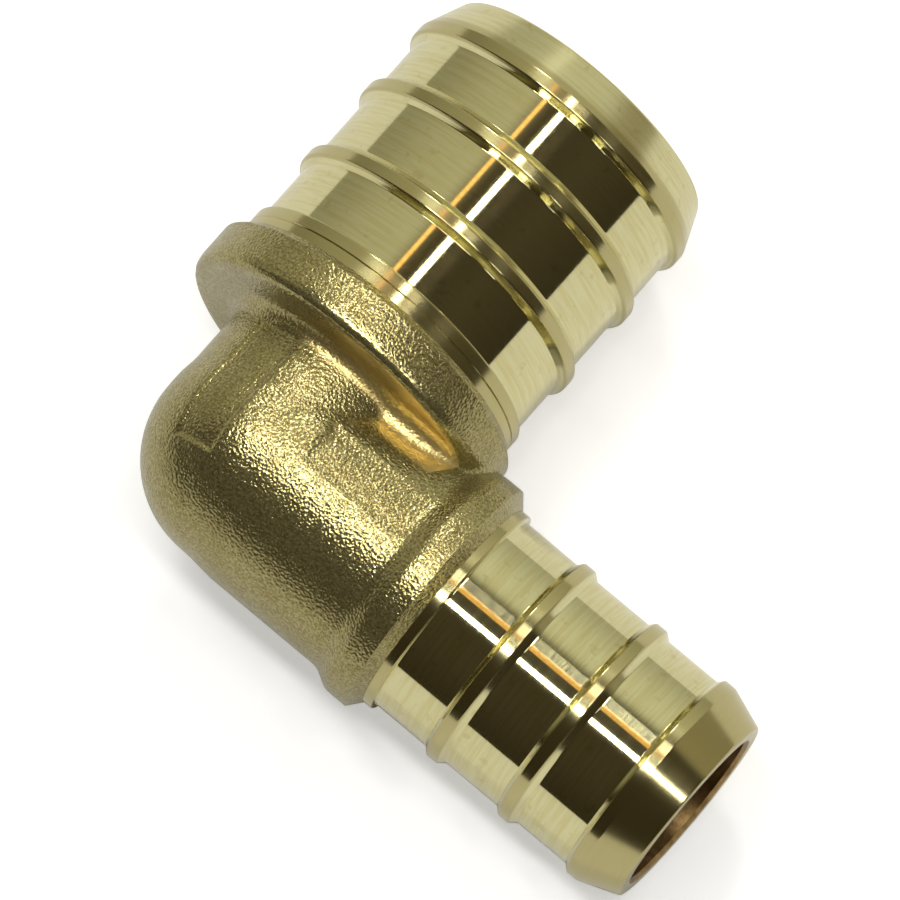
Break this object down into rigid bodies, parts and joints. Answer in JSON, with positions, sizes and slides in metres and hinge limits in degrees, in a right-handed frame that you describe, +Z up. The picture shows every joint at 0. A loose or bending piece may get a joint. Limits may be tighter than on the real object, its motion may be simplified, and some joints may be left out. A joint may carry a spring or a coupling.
{
  "type": "reducing elbow pipe fitting",
  "caption": "Right-angle brass elbow that joins a wide and a narrow plastic pipe, each crimped over a ribbed barb, with a forged body and a wide collar.",
  "frame": {"origin": "centre of the bottom of the bounding box, on the table under the elbow as it lies", "axes": "+Z up, +X mostly along the narrow barb, +Y mostly along the wide barb; both lean down a little because the elbow rests on its collar and barb ends"},
  "size_m": [0.037, 0.0312, 0.0185],
  "materials": {
    "brass": "turned bright barbs, blasted forged body"
  },
  "bodies": {
    "root": {"reducing_elbow": "brass"}
  },
  "joints": []
}
